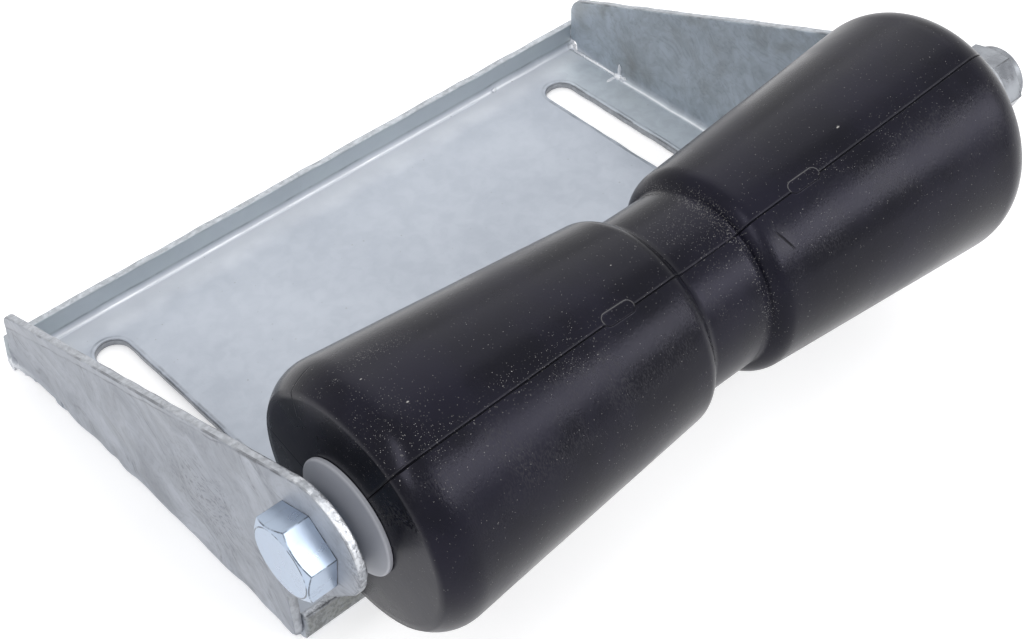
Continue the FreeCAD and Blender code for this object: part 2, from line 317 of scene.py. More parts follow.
def slotDistance(x, y, looks):
    # how far a point of the base lies outside the nearer slot's outline
    aside = minus(calc("ABSOLUTE", x), looks["slotCentre"])
    low, high = looks["slotStraight"]
    kept = calc("MINIMUM", greater(y, low), high)
    return minus(length(aside, minus(y, kept)), looks["slotHalfWidth"])


def zincSurface(place, looks):
    # places, masks and noises that several marks of the zinc share
    at = SimpleNamespace(place=place, polar=groupNode(aroundAxle, {"Vector": place}))
    at.x, at.y, at.z = addNode("ShaderNodeSeparateXYZ", {0: place}).outputs
    at.onCheek = times(rescale(calc("ABSOLUTE", at.x), *looks["cheeks"]), rescale(at.z, *looks["aboveFold"]))
    at.onLeft = rescale(at.x, *looks["leftSide"])
    at.onBase = rescale(at.z, *looks["onBase"])
    at.cut, at.bead = attribute("cutEdge"), attribute("zincBeadGlint")
    at.fine = cloudy(place, 190.0, 5.0, 0.32, 0.68, 0.6)
    at.broken = cloudy(place, 105.0, 6.0, 0.42, 0.62)
    at.stain = cloudy(place, 52.0, 8.0, 0.44, 0.80, 0.8)
    at.wander = minus(noiseAt(place, 70.0, 3.0), 0.5)
    # zinc runs, which sweep down towards the front
    swirl = noiseAt(place, 24.0, 2.0, "Color")
    warped = firstOf("ShaderNodeVectorMath", {0: swirl, 1: (0.0, 0.050, 0.050), 2: place}, operation="MULTIPLY_ADD")
    at.turned = firstOf("ShaderNodeVectorRotate", {"Vector": warped, "Angle": math.radians(looks["streakTurn"])},
                        rotation_type="X_AXIS")
    at.broad = cloudy(scaled(at.turned, (1.0, 0.75, 1.0)), 34.0, 4.0, 0.34, 0.66, 1.5)
    narrow = cloudy(scaled(at.turned, (1.0, 0.62, 1.0)), 75.0, 6.0, 0.28, 0.74, 1.5)
    at.runs = lift(narrow, 0.40, times(at.broad, 0.60))
    return at


def paintCheeks(base, at, looks):
    # duller than the base, the left one with zinc runs, the right one paler towards the rear as painted light
    farMix = plus(lift(at.fine, 0.6, times(at.broad, 0.25)), rescale(at.y, *looks["farPaintedLight"], 0.0, 0.55))
    farTone = mixColour(farMix, looks["farDull"], looks["farPale"])
    nearTone = mixColour(at.runs, looks["dullZinc"], looks["runZinc"])
    base = paint(base, mixColour(at.onLeft, farTone, nearTone), at.onCheek, 0.9)
    # thin dark creases that wind along the runs of the left cheek
    ridged = noiseAt(scaled(at.turned, (1.0, 0.30, 1.0)), 46.0, 5.0)
    base = paint(base, looks["line"], nearTo(ridged, 0.5, 0.014), at.broken, at.onCheek, at.onLeft, 0.40)
    # a wavy dark line that follows the left cheek's upper edge
    edgeY, edgeZ, edgeSlope, edgeCos = looks["edgeCrease"]
    below = minus(minus(edgeZ, times(minus(at.y, edgeY), edgeSlope)), at.z)
    below = plus(times(below, edgeCos), times(at.wander, 0.0030))
    base = paint(base, looks["line"], nearTo(below, 0.0, 0.0006), lift(at.broken, 0.7, 0.3), at.onLeft, 0.5)
    base = paint(base, looks["edgeLight"], rescale(below, 0.0, -0.0010), at.onLeft, at.onCheek, 0.25)
    # a rough, darker spot on the left cheek, behind the bolt
    fromSpot = distance(scaled(at.place, (0, 1, 1)), (0, *looks["roughSpot"]))
    roughSpot = times(rescale(fromSpot, 0.026, 0.008), at.onLeft)
    base = paint(base, looks["dullZinc"], roughSpot, 0.25)
    grains = cloudy(scaled(at.turned, (1.0, 0.5, 1.0)), 800.0, 4.0, 0.50, 0.64)
    base = paint(base, looks["line"], grains, at.onCheek, lift(roughSpot, 0.38, 0.14))
    # brownish stains, mostly on the right cheek
    onRight = times(rescale(at.x, *looks["rightSide"]), rescale(at.z, 0.003, 0.008, 0.12, 0.42))
    base = paint(base, looks["stain"], at.stain, lift(at.onCheek, 0.12, onRight))
    spot = rescale(distance(at.place, looks["stainSpot"]), 0.020, 0.004)
    return paint(base, looks["stain"], spot, lift(at.stain, 0.5, 0.15))


def paintFolds(base, at, looks):
    # paler strip of the base along the right cheek
    base = paint(base, looks["sideZinc"], rescale(at.x, *looks["sideStrip"]), at.onBase, lift(at.fine, 0.3, 0.45))
    # painted light: a paler foot of the back lip, with painted highlights as bright uneven lines in its bend and in
    # the right cheek's fold
    foot = rescale(plus(at.y, times(at.wander, 0.010)), *looks["footGlow"])
    base = paint(base, looks["highlightZinc"], foot, rescale(at.z, *looks["belowBend"]), 0.55)
    footHighlight = nearTo(plus(at.y, times(at.wander, 0.0016)), looks["footHighlight"], 0.0008)
    sideHighlight = nearTo(plus(at.x, times(at.wander, 0.0008)), looks["sideHighlight"], 0.0006)
    sideHighlight = times(sideHighlight, rescale(at.z, 0.0080, 0.0060), rescale(at.y, 0.054, 0.051), 0.8)
    # the bend mask holds these painted highlight lines; they are also made more metallic
    at.bend = greater(times(footHighlight, rescale(at.z, 0.0070, 0.0050)), sideHighlight)
    base = paint(base, looks["highlightZinc"], at.bend)
    # the back lip is paler inside, the front lip darker outside with painted shade in the stain colour
    backLip = times(rescale(at.y, *looks["backLip"]), rescale(at.z, *looks["aboveBend"]))
    base = paint(base, looks["lipZinc"], backLip, lift(at.stain, 0.4, 0.55))
    # painted shade: a dark uneven line in the back lip's bend, above its painted highlight
    bendShade = nearTo(plus(at.z, times(at.wander, 0.0012)), looks["bendShadeLine"], 0.0008)
    base = paint(base, looks["line"], bendShade, rescale(at.y, 0.0812, 0.0820), lift(at.broken, 0.25, 0.20))
    at.frontLip = times(rescale(at.y, *looks["frontLip"]), minus(1.0, at.onCheek))
    base = paint(base, looks["stain"], at.frontLip, lift(at.fine, 0.35, 0.62))
    # zinc drawn up round the slots
    at.slot = plus(slotDistance(at.x, at.y, looks), times(at.wander, 0.0008))
    at.rim = times(nearTo(at.slot, 0.0014, 0.0008), at.onBase, lift(at.broken, 0.7, 0.3))
    return paint(base, looks["line"], at.rim, 0.45)


def paintEdges(base, at, looks):
    # cut edges, a little uneven, between broken dark lines
    at.grit = cloudy(at.place, 420.0, 4.0, 0.32, 0.68)
    base = paint(base, mixColour(at.grit, looks["edgeDark"], looks["edgeLight"]), at.cut, 0.75)
    # painted shade: darker cut walls of the slots
    base = paint(base, looks["line"], rescale(at.slot, 0.0006, 0.0002), at.cut, at.onBase, 0.35)
    # painted highlight on the rounded cut edge of the left ear, over its upper front, broken into patches
    angle, radius = at.polar["Angle"], at.polar["Radius"]
    ear = times(rescale(angle, -25.0, 0.0), rescale(angle, 80.0, 55.0), at.onLeft, at.cut,
                rescale(radius, 0.030, 0.026))
    # patches that break up the painted highlight
    worn = cloudy(at.place, 260.0, 4.0, 0.44, 0.56)
    base = paint(base, looks["highlightZinc"], ear, lift(worn, 0.60, 0.02))
    border = times(attribute("edgeLine"), rescale(at.y, 0.0800, 0.0815, 0.6, 0.15))
    base = paint(base, looks["line"], border, at.broken)
    # zinc blobs and drips drawn near white: a painted glint on real blobs
    base = paint(base, looks["highlightZinc"], at.bead)
    # coarse dark grit on the front lip and low on the left ear
    lowEar = times(at.onCheek, at.onLeft, rescale(angle, 45.0, 70.0), rescale(radius, 0.016, 0.022),
                   rescale(radius, 0.036, 0.030))
    coarse = cloudy(at.place, 800.0, 5.0, 0.46, 0.56)
    base = paint(base, looks["line"], coarse, greater(at.frontLip, lowEar), 0.45)
    return paint(base, looks["stain"], specked(at.place, 650.0, 0.30, 0.05), 0.45)


def galvanisedMaterial(looks):
    made, shader, place = newMaterial("galvanisedZinc")
    at = zincSurface(place, looks)
    tone = lift(cloudy(place, 15.0, 4.0, 0.3, 0.7), 0.6, times(at.fine, 0.4))
    base = mixColour(tone, looks["zinc"], looks["paleZinc"])
    base = paintCheeks(base, at, looks)
    base = paintFolds(base, at, looks)
    link(paintEdges(base, at, looks), shader.inputs["Base Color"])
    link(rescale(greater(at.cut, at.bend), 0.0, 1.0, *looks["metallic"]), shader.inputs["Metallic"])
    rough = plus(rescale(tone, 0, 1, *reversed(looks["roughness"])), times(at.onCheek, 0.06))
    rough = minus(rough, times(at.cut, 0.06))
    link(minus(rough, times(at.bead, 0.15)), shader.inputs["Roughness"])
    normal = bumped(noiseAt(place, 60.0, 2.0), 0.15, 0.0008)
    normal = bumped(at.runs, times(at.onCheek, 0.32), 0.0005, normal)
    normal = bumped(at.fine, times(at.onCheek, 0.20), 0.0003, normal)
    normal = bumped(at.rim, 0.4, 0.0003, normal)
    normal = bumped(noiseAt(place, 1100.0, 3.0), 0.16, 0.0002, normal)
    link(bumped(at.grit, times(at.cut, 0.55), 0.0005, normal), shader.inputs["Normal"])
    return made


# Bracket: the folded sheet with zinc-rounded edges, lumps and runs

bracketLooks = {
    "edgeRound": 0.0006, "grid": 0.0026, "waviness": 0.00010, "edgeLumps": 0.00028, "footLumps": 0.00035,
    "cheekInside": 0.1345, "slotCentre": 0.110, "bendBack": 0.052,
    "footTop": 0.0065, "lipTop": 0.0113, "baseTop": 0.004,  # heights above which cut faces lie, and of the base
    "slotReach": (0.0085, -0.044, 0.0705),  # half width, front and back of the space about a slot
    # zinc swelling outwards at the left cheek's foot: top, |x| from which it starts, fade towards the bend
    "swellTop": 0.020, "swellInside": 0.1290, "rearSwellInside": 0.1341, "swellFade": 0.004,
    # notches of the folded corners, too tight for rounded edges: least |x|, top, front, back
    "notches": [(0.1300, 0.0064, 0.0508, 0.0532), (0.1300, 0.0064, -1.0, -0.0805), (0.1335, 0.0032, 0.0790, 1.0)],
    # zinc along the left cheek's lower edge: centre Y, reach, thickness
    "runs": [(0.0860, 0.020, 0.0024), (0.0400, 0.015, 0.0013), (0.0220, 0.008, 0.0006), (0.0100, 0.007, 0.0010),
             (-0.0140, 0.008, 0.0004), (0.0570, 0.007, -0.0005), (-0.0580, 0.010, -0.0007)],
    # blobs: centre, half sizes
    "blobs": [
        ((0.1336, 0.0520, 0.0036), (0.0016, 0.0024, 0.0012)), ((0.1335, 0.0490, 0.0038), (0.0008, 0.0014, 0.0010)),
        ((0.1340, 0.0520, 0.0062), (0.0008, 0.0007, 0.0030)), ((0.1310, 0.0535, 0.0030), (0.0028, 0.0008, 0.0004)),
        ((0.1338, 0.0670, 0.0032), (0.0007, 0.0150, 0.0006)), ((0.1337, 0.0812, 0.0040), (0.0009, 0.0016, 0.0012)),
        ((-0.1335, 0.0520, 0.0036), (0.0010, 0.0016, 0.0008)), ((0.0900, 0.0815, 0.0038), (0.0012, 0.0008, 0.0007)),
        ((0.1360, 0.0823, 0.0104), (0.0013, 0.0008, 0.0034))],
    # rough zinc that closes the left rear corner and lies along the lower edge
    "fills": [
        ((-0.1376, 0.0822, 0.0052), (0.0020, 0.0030, 0.0046)), ((-0.1373, 0.0815, 0.0024), (0.0021, 0.0036, 0.0024)),
        ((-0.1374, 0.0838, 0.0032), (0.0020, 0.0016, 0.0030)), ((-0.1371, 0.0828, 0.0100), (0.0014, 0.0014, 0.0036)),
        ((-0.1368, 0.0765, 0.0020), (0.0017, 0.0034, 0.0018)), ((-0.1364, 0.0712, 0.0022), (0.0014, 0.0030, 0.0015)),
        ((-0.1360, 0.0540, 0.0022), (0.0015, 0.0056, 0.0019))]}


def bell(offset, reach):
    # smooth bump, 1 in the middle and 0 from the reach on
    near = max(0.0, 1.0 - abs(offset) / reach)
    return near * near * (3 - 2 * near)


def weldedCopy(name):
    shell = bmesh.new()
    shell.from_mesh(nodes[name].data)
    bmesh.ops.remove_doubles(shell, verts=shell.verts, dist=1e-6)
    bmesh.ops.dissolve_limit(shell, angle_limit=math.radians(0.5), verts=shell.verts, edges=shell.edges)
    return shell


def finishShell(shell, name, material, weight):
    # plain mesh object with evened normals
    mesh = bpy.data.meshes.new(name)
    shell.to_mesh(mesh)
    shell.free()
    mesh.materials.append(material)
    made = newObject(name, mesh)
    made.modifiers.new("evenNormals", "WEIGHTED_NORMAL").weight = weight
    return freeze(made)


def roundEdges(shell, width, steps, sharpest, isTight=lambda co: False):
    sharp = [e for e in shell.edges if len(e.link_faces) == 2 and e.calc_face_angle(0) > math.radians(sharpest)
             and not any(isTight(v.co) for v in e.verts)]
    return bmesh.ops.bevel(shell, geom=sharp, offset=width, offset_type="OFFSET", segments=steps,
                           profile=0.5, affect="EDGES", clamp_overlap=False)["faces"]


def inNotch(co):
    return any(abs(co.x) > aside and co.z < top and front < co.y < back
               for aside, top, front, back in bracketLooks["notches"])


def planeCut(shell, place, direction, **more):
    everything = shell.verts[:] + shell.edges[:] + shell.faces[:]
    return bmesh.ops.bisect_plane(shell, geom=everything, dist=1e-7, plane_co=place, plane_no=direction, **more)


def gridCut(shell, spacing):
    # splits long flat faces, so that small waves can lie in them
    low = Vector([min(v.co[i] for v in shell.verts) for i in range(3)])
    high = Vector([max(v.co[i] for v in shell.verts) for i in range(3)])
    for i in range(3):
        direction = Vector([1.0 if i == k else 0.0 for k in range(3)])
        for step in range(1, int((high[i] - low[i]) / spacing) + 1):
            planeCut(shell, low + direction * (spacing * (step - 0.37)), direction)


def isCutFace(face, looks):
    # faces left by the cutter, across the sheet's thickness
    centre = face.calc_center_median()
    aside, n = abs(centre.x), face.normal
    if aside > looks["cheekInside"] - 0.0002 and abs(n.x) < 0.85:
        if centre.z > looks["footTop"] or centre.y > looks["bendBack"] + 0.001:
            return True
    if centre.z > looks["lipTop"] and n.z > 0.4 and aside < looks["cheekInside"]:
        return True
    halfWidth, front, back = looks["slotReach"]
    inSlot = abs(aside - looks["slotCentre"]) < halfWidth and front < centre.y < back
    return inSlot and abs(n.z) < 0.85 and centre.z < looks["baseTop"]


def footSwell(looks, co):
    # thick, uneven zinc along the lower edge of the left cheek
    behind = co.y > looks["bendBack"] - 0.0001
    inside = looks["rearSwellInside"] if behind else looks["swellInside"]
    if co.x > -inside or co.z > looks["swellTop"]:
        return Vector()
    coarse = noise.noise(Vector((0.0, co.y * 120.0, 3.7)))
    push = looks["footLumps"] * (coarse + 0.5 * noise.noise(Vector((0.0, co.y * 300.0, 1.3))))
    for y, reach, thick in looks["runs"]:
        push += thick * bell(co.y - y, reach)
    push *= min(1.0, abs(co.y - looks["bendBack"]) / looks["swellFade"])
    return Vector((-1, 0, 0)) * push * (1.0 - co.z / looks["swellTop"])


def makeBracket(looks, material):
    shell = weldedCopy("bracket")
    cut, line, bead = [shell.faces.layers.float.new(name) for name in ("cutEdge", "edgeLine", "zincBeadGlint")]
    for face in roundEdges(shell, looks["edgeRound"], 2, 35, inNotch):
        face[line] = 1.0
    gridCut(shell, looks["grid"])
    bmesh.ops.triangulate(shell, faces=[f for f in shell.faces if len(f.verts) > 4])
    shell.normal_update()
    onEdge = set()
    for face in shell.faces:
        if isCutFace(face, looks):
            face[cut] = 1.0
            onEdge.update(v.index for v in face.verts)
        face.smooth = True
    shell.verts.ensure_lookup_table()
    moves = []
    for v in shell.verts:
        swell = looks["waviness"] * noise.noise(v.co * 38.0)
        if v.index in onEdge:
            swell += looks["edgeLumps"] * max(-0.5, noise.noise(v.co * 110.0) + 0.3 * noise.noise(v.co * 330.0))
        moves.append(v.normal * swell + footSwell(looks, v.co))
    for v, move in zip(shell.verts, moves):
        v.co += move
        v.co.z = max(v.co.z, 0.0)
        v.co.y = min(v.co.y, cadBox[1].y)
    for centre, half in looks["blobs"]:
        addBlob(shell, Vector(centre), Vector(half), bead, 1.0)
    for centre, half in looks["fills"]:
        addBlob(shell, Vector(centre), Vector(half), bead, 0.0)
    made = finishShell(shell, "galvanisedBracket", material, 80)
    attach(made, "bracket")
    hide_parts("bracket")


def addBlob(shell, centre, half, bead, shine):
    found = bmesh.ops.create_icosphere(shell, subdivisions=3, radius=1.0)["verts"]
    for v in found:
        bulge = 1.0 + 0.35 * noise.noise(v.co * 1.7 + centre * 300) + 0.12 * noise.noise(v.co * 5.0 + centre * 700)
        v.co = centre + Vector([v.co[i] * half[i] * bulge for i in range(3)])
        v.co.y, v.co.z = min(v.co.y, cadBox[1].y), max(v.co.z, 0.0)
    for face in {f for v in found for f in v.link_faces}:
        face.smooth = True
        face[bead] = shine


# Turned and moulded pieces, from a half section of (along, radius) points

def buildTurnedTree():
    tree, given, result = newTree("turnedPiece", "GeometryNodeTree", {
        "Section": "Geometry", "Segments": 160, "Axle Y": axle[0], "Axle Z": axle[1],
        "Start Angle": 0.0, "Twist": 0.0, "Crowding": 0.0, "Waviness": 0.0, "Wave Scale": 40.0,
        "Thread Depth": 0.0, "Thread Pitch": 0.002, "Thread Crest": 0.008, "Material": "Material"}, ["Geometry"])
    tree.is_modifier = True
    count = firstOf("GeometryNodeAttributeDomainSize", {0: given["Section"]}, component="MESH")
    columns = plus(given["Segments"], 1)
    grid = firstOf("GeometryNodeMeshGrid", {"Vertices X": columns, "Vertices Y": count})
    index = firstOf("GeometryNodeInputIndex")
    column = calc("FLOOR", calc("DIVIDE", plus(index, 0.5), count))
    row = minus(index, times(column, count))
    position = firstOf("GeometryNodeInputPosition")
    sampled = addNode("GeometryNodeSampleIndex", {"Geometry": given["Section"], "Index": row},
                      data_type="FLOAT_VECTOR")
    link(position, sampled.inputs["Value"])
    section = addNode("ShaderNodeSeparateXYZ", {0: sampled.outputs[0]}).outputs
    turn = calc("DIVIDE", column, given["Segments"])
    angle = times(turn, 2 * math.pi)
    # columns crowd together at the start angle, which may wind slowly along the piece
    angle = minus(angle, times(calc("SINE", angle), given["Crowding"]))
    angle = plus(angle, plus(given["Start Angle"], times(section[0], given["Twist"])))
    # a screw thread where a depth is given: ridges no higher than the crest
    phase = minus(calc("DIVIDE", section[0], given["Thread Pitch"]), turn)
    ridge = times(calc("PINGPONG", phase, 0.5), 2.0)
    groove = minus(given["Thread Crest"], times(given["Thread Depth"], ridge))
    threaded = calc("GREATER_THAN", given["Thread Depth"], 0.0)
    limit = plus(times(groove, threaded), minus(1.0, threaded))
    radius = calc("MINIMUM", section[1], limit)
    y = minus(given["Axle Y"], times(radius, calc("SINE", angle)))
    z = plus(given["Axle Z"], times(radius, calc("COSINE", angle)))
    place = firstOf("ShaderNodeCombineXYZ", {0: section[0], 1: y, 2: z})
    shaped = firstOf("GeometryNodeSetPosition", {"Geometry": grid, "Position": place})
    merged = firstOf("GeometryNodeMergeByDistance", {"Geometry": shaped, "Distance": 2e-6})
    wave = noiseAt(position, given["Wave Scale"], 2.0)
    amount = times(minus(wave, 1.0), given["Waviness"])  # inwards only
    normal = firstOf("GeometryNodeInputNormal")
    push = firstOf("ShaderNodeVectorMath", {0: normal, "Scale": amount}, operation="SCALE")
    waved = firstOf("GeometryNodeSetPosition", {"Geometry": merged, "Offset": push})
    smooth = firstOf("GeometryNodeSetShadeSmooth", {"Geometry": waved, "Shade Smooth": True})
    real = firstOf("GeometryNodeRealizeInstances", {"Geometry": smooth})
    dressed = firstOf("GeometryNodeSetMaterial", {"Geometry": real, "Material": given["Material"]})
    link(dressed, result["Geometry"])
    return tree


turnedTree = buildTurnedTree()


def arcPoints(centre, radius, fromAngle, toAngle, steps):
    return [(centre[0] + radius * math.cos(fromAngle + (toAngle - fromAngle) * i / steps),
             centre[1] + radius * math.sin(fromAngle + (toAngle - fromAngle) * i / steps)) for i in range(steps + 1)]


def roundCorners(corners, steps=8):
    # section points from (along, radius, rounding) corners
    points = []
    for i, (x, r, rounding) in enumerate(corners):
        here = Vector((x, r))
        if rounding == 0:
            points.append((x, r))
            continue
        toBefore = (Vector(corners[i - 1][:2]) - here).normalized()
        toAfter = (Vector(corners[(i + 1) % len(corners)][:2]) - here).normalized()
        half = toBefore.angle(toAfter) / 2
        centre = here + (toBefore + toAfter).normalized() * (rounding / math.sin(half))
        start = here + toBefore * (rounding / math.tan(half)) - centre
        end = here + toAfter * (rounding / math.tan(half)) - centre
        fromAngle = math.atan2(start.y, start.x)
        turn = (math.atan2(end.y, end.x) - fromAngle + math.pi) % (2 * math.pi) - math.pi
        points += arcPoints(centre, rounding, fromAngle, fromAngle + turn, steps)
    return points


def spread(points, spacing):
    # fills long straight stretches, so that waves and scuffs have points to move
    filled = [points[0]]
    for a, b in zip(points, points[1:]):
        parts = max(1, int(math.dist(a, b) / spacing))
        filled += [(a[0] + (b[0] - a[0]) * i / parts, a[1] + (b[1] - a[1]) * i / parts) for i in range(1, parts + 1)]
    return filled


def turnedPiece(name, section, values):
    mesh = bpy.data.meshes.new(name)
    mesh.from_pydata([(x, r, 0) for x, r in section], [], [])
    return runTree(newObject(name, mesh), turnedTree, values)


# Rubber roller

rollerSizes = {
    "halfLength": 0.124, "waistRadius": 0.0305, "waistHalf": 0.0125, "coneRadius": 0.0339, "coneSlope": 0.083,
    "shoulderRound": 0.007, "endRound": 0.0147, "creaseRadius": 0.0385, "creaseSetback": 0.001, "endFlat": 0.020,
    "boreRadius": 0.012, "waviness": 0.00022, "waveScale": 32.0, "segments": 200, "crowding": 0.88,
    "markRows": (0.0305, 0.0475, 0.0004),  # closer rows of faces about the marks: from, to, spacing
    "grooveDepth": 0.00024, "grooveHalfWidth": 0.00030, "lipHeight": 0.00005,
    "markHeight": 0.00018, "markLine": 0.00028}


def coneArc(sizes, x, r, radius, side):
    # arc from a section point onto the cone, touching it without a corner
    slope = math.atan(sizes["coneSlope"])
    along = Vector((math.cos(slope), math.sin(slope)))
    outward = Vector((-along.y, along.x))
    start = Vector((0, sizes["coneRadius"])) - outward * radius
    apart = Vector((x, r)) - start
    centre = start + along * (apart.dot(along) + side * math.sqrt(radius ** 2 - apart.dot(outward) ** 2))
    fromAngle = math.atan2(outward.y, outward.x)
    toAngle = math.atan2(r - centre.y, x - centre.x)
    return arcPoints(centre, radius, fromAngle, toAngle, 14)


def rollerSection(sizes):
    shoulder = coneArc(sizes, sizes["waistHalf"], sizes["waistRadius"], sizes["shoulderRound"], 1)
    end = coneArc(sizes, sizes["halfLength"] - sizes["creaseSetback"], sizes["creaseRadius"], sizes["endRound"], -1)
    half = [(0, sizes["waistRadius"])] + list(reversed(shoulder)) + end
    half += [(sizes["halfLength"], sizes["endFlat"]), (sizes["halfLength"], sizes["boreRadius"]),
             (0, sizes["boreRadius"])]
    half = spread(half, 0.0022)
    low, high, spacing = sizes["markRows"]
    rows = [half[0]]
    for a, b in zip(half, half[1:]):
        rows += spread([a, b], spacing if low < a[0] < high and a[1] > sizes["waistRadius"] else 1.0)[1:]
    return [(-x, r) for x, r in reversed(rows)] + rows[1:]


rubberLooks = {
    "rubber": (0.0019, 0.0021, 0.0040, 1), "worn": (0.0060, 0.0057, 0.0122, 1), "dust": (0.50, 0.49, 0.47, 1),
    "scuff": (0.032, 0.032, 0.034, 1), "line": (0.0012, 0.0012, 0.0015, 1),
    # lip: colour of the painted highlights on the seam's edge and on the marks' upper outlines
    "lip": (0.22, 0.22, 0.22, 1), "roughness": (0.23, 0.32), "specular": 0.19, "tint": (0.81, 0.79, 1.0, 1),
    "partingAngle": 28.3, "partingSkew": -38.0, "partingHalfWidth": 0.00030,
    "marks": [(-0.0395, 28.6), (0.0387, 25.6)], "markRadius": 0.0372,  # marks: along, angle
    "markHalfLength": 0.0060, "markHalfWidth": 0.0021,
    "endLine": -81.0, "curlLine": (-28.6, 0.0433, 850.0),  # angles, start radius and turn of the left end's lines
    "rubbedSpot": (0.0215, 44.0, 0.0050, 9.0), "stroke": (0.0222, 0.00025), "cornerDust": (0.0110, 0.0040),
    # dust patches: along, angle, reach along, reach in degrees, amount
    "dustPatches": [(-0.106, -14.0, 0.020, 7.0, 0.40), (-0.062, 31.0, 0.055, 13.0, 0.15),
                    (-0.112, 20.0, 0.018, 40.0, 0.10), (0.000, 20.0, 0.014, 60.0, 0.14),
                    (0.070, 27.0, 0.045, 12.0, 0.11), (0.030, 45.0, 0.014, 14.0, 0.10)],
    # single flecks: along, angle, size
    "flecks": [(0.0607, 14.4, 0.0008), (-0.1075, 14.0, 0.0006), (-0.1120, -4.0, 0.0005), (-0.0300, 8.0, 0.0004)]}


def around(polar, along, angle, reachAlong, reachAngle):
    # soft oval mask about one place of the roller's skin
    a = calc("DIVIDE", minus(polar["Along"], along), reachAlong)
    b = calc("DIVIDE", minus(polar["Angle"], angle), reachAngle)
    return rescale(length(a, b), 1.0, 0.3)


def rubberLines(polar, place, looks):
    # the mould's parting line with a painted highlight along its upper edge, the oblong marks beside it with
    # outlines painted lit above and shaded below, and thin lines on the left end
    along, angle, radius = polar["Along"], polar["Angle"], polar["Radius"]
    fromSeam = minus(angle, lift(along, looks["partingSkew"], looks["partingAngle"]))
    wander = times(minus(noiseAt(place, 220.0, 2.0), 0.5), 0.00015)
    aside = plus(times(calc("RADIANS", fromSeam), radius), wander)
    offWaist = rescale(calc("ABSOLUTE", along), 0.0115, 0.0135, 0.45, 1.0)
    line = times(rescale(calc("ABSOLUTE", aside), looks["partingHalfWidth"], 0.0), offWaist)
    # painted highlight along the seam's upper edge
    bright = times(nearTo(aside, -0.00060, 0.0003), 0.12)
    dark, inside = 0.0, 0.0
    for markAlong, markAngle in looks["marks"]:
        across = times(calc("RADIANS", minus(angle, markAngle)), looks["markRadius"])
        mark = groupNode(ovalMark, {"Along": minus(along, markAlong), "Around": across, "Line": 0.00026,
                                    "Half Length": looks["markHalfLength"], "Half Width": looks["markHalfWidth"]})
        # painted highlight on each mark's upper outline, painted shade on its lower outline
        upper = rescale(across, 0.0012, 0.0002)
        bright = times(bright, minus(1.0, mark["Inside"]))
        bright = plus(bright, times(mark["Line"], upper, 0.9))
        dark = plus(dark, times(mark["Line"], minus(1.0, upper)))
        inside = plus(inside, mark["Inside"])
    line = times(line, minus(1.0, inside))
    onEnd = rescale(along, -0.1225, -0.1235)
    endAside = plus(times(calc("RADIANS", minus(angle, looks["endLine"])), radius), wander)
    line = greater(line, times(nearTo(endAside, 0.0, 0.0003), onEnd, 0.8))
    curlAngle, curlRadius, curlTurn = looks["curlLine"]
    curl = minus(curlAngle, times(minus(curlRadius, radius), curlTurn))
    curlAside = times(calc("RADIANS", minus(angle, curl)), radius)
    curlWhere = times(rescale(along, -0.1150, -0.1180), rescale(radius, 0.030, 0.034))
    line = greater(line, times(nearTo(curlAside, 0.0, 0.0003), curlWhere, 0.7))
    return fromSeam, greater(line, dark), bright


def rubberDust(polar, place, looks, patch):
    along, angle = polar["Along"], polar["Angle"]
    corner = nearTo(along, *looks["cornerDust"])
    amount = times(corner, rescale(angle, 110.0, 60.0), rescale(angle, -90.0, -50.0), 0.9)
    for dustAlong, dustAngle, reachAlong, reachAngle, strength in looks["dustPatches"]:
        there = around(polar, dustAlong, dustAngle, reachAlong, reachAngle)
        amount = plus(amount, times(there, strength))
    amount = plus(times(amount, plus(patch, 0.30)), 0.02)
    fine = specked(place, 4200.0, 0.55, amount)
    large = specked(place, 2000.0, 0.36, times(amount, 0.18))
    dusty = greater(fine, large)
    for fleckAlong, fleckAngle, size in looks["flecks"]:
        dusty = greater(dusty, around(polar, fleckAlong, fleckAngle, size, size * 700))
    return dusty


